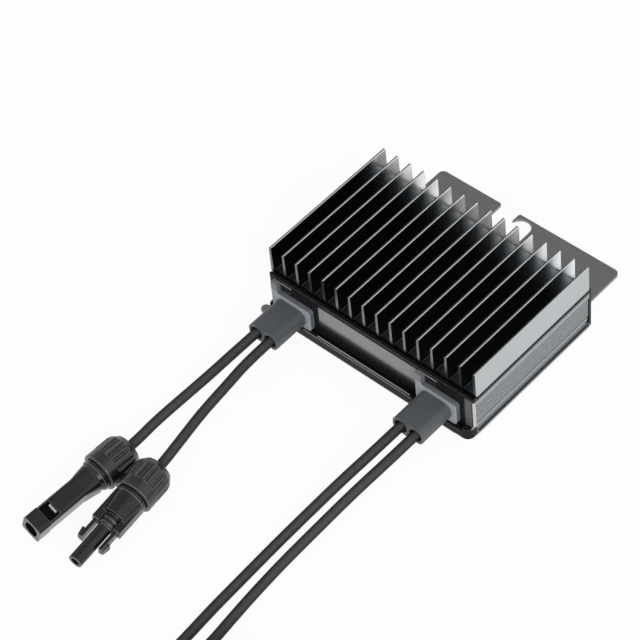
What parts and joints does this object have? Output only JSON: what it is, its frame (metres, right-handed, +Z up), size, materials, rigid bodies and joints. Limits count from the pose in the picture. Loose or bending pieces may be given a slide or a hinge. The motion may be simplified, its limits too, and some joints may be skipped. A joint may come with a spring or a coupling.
{
  "type": "power optimizer",
  "caption": "Finned metal solar power optimizer on a hook bracket, with short input leads and long output leads ending in connectors.",
  "frame": {"origin": "on the underside of the bracket, under the middle of the heat sink", "axes": "+Z up through the fins, +Y towards the hook of the bracket, the leads leave towards -Y, +X to the output side"},
  "size_m": [0.2013, 0.4178, 0.0442],
  "materials": {
    "anodised_aluminium": "fine-brushed extrusion",
    "bracket_steel": "satin",
    "housing_plastic": "smooth moulded",
    "label_film": "smooth",
    "gland_rubber": "satin moulded",
    "gasket_rubber": "matte",
    "cable_jacket": "satin",
    "connector_plastic": "glossy moulded",
    "nut_plastic": "satin moulded",
    "contact_metal": "tinned",
    "screw_steel": "zinc plated",
    "board_laminate": "solder mask",
    "chip_plastic": "matte",
    "pad_silicone": "matte",
    "ferrite": "matte",
    "copper_wire": "enamelled",
    "capacitor_case": "smooth",
    "terminal_plastic": "matte"
  },
  "bodies": {
    "root": {"heat_sink": "anodised_aluminium", "mounting_bracket": "bracket_steel", "tray": "housing_plastic", "gasket": "gasket_rubber", "label_plate": "label_film", "input_gland": "gland_rubber", "output_gland": "gland_rubber", "input_tails": "cable_jacket", "output_tails": "cable_jacket", "input_terminals": "terminal_plastic", "output_terminals": "terminal_plastic", "circuit_board": "board_laminate", "power_switches": "chip_plastic", "thermal_pad": "pad_silicone", "control_chips": "chip_plastic", "inductor_cores": "ferrite", "inductor_windings": "copper_wire", "input_capacitors": "capacitor_case", "output_capacitors": "capacitor_case", "board_screws": "screw_steel", "tray_screws": "screw_steel", "bracket_screws": "screw_steel", "input_lead_a": "cable_jacket", "input_lead_b": "cable_jacket", "output_lead_a": "cable_jacket", "output_lead_b": "cable_jacket", "output_lead_a_end": "cable_jacket", "output_lead_b_end": "cable_jacket", "output_coil_a": "cable_jacket", "output_coil_b": "cable_jacket", "input_a_nut": "nut_plastic", "input_a_seal": "gasket_rubber", "input_a_body": "connector_plastic", "input_a_contact": "contact_metal", "input_b_nut": "nut_plastic", "input_b_seal": "gasket_rubber", "input_b_body": "connector_plastic", "input_b_contact": "contact_metal", "input_b_rings": "gasket_rubber", "output_a_nut": "nut_plastic", "output_a_seal": "gasket_rubber", "output_a_body": "connector_plastic", "output_a_contact": "contact_metal", "output_b_nut": "nut_plastic", "output_b_seal": "gasket_rubber", "output_b_body": "connector_plastic", "output_b_contact": "contact_metal", "output_b_rings": "gasket_rubber"}
  },
  "joints": []
}
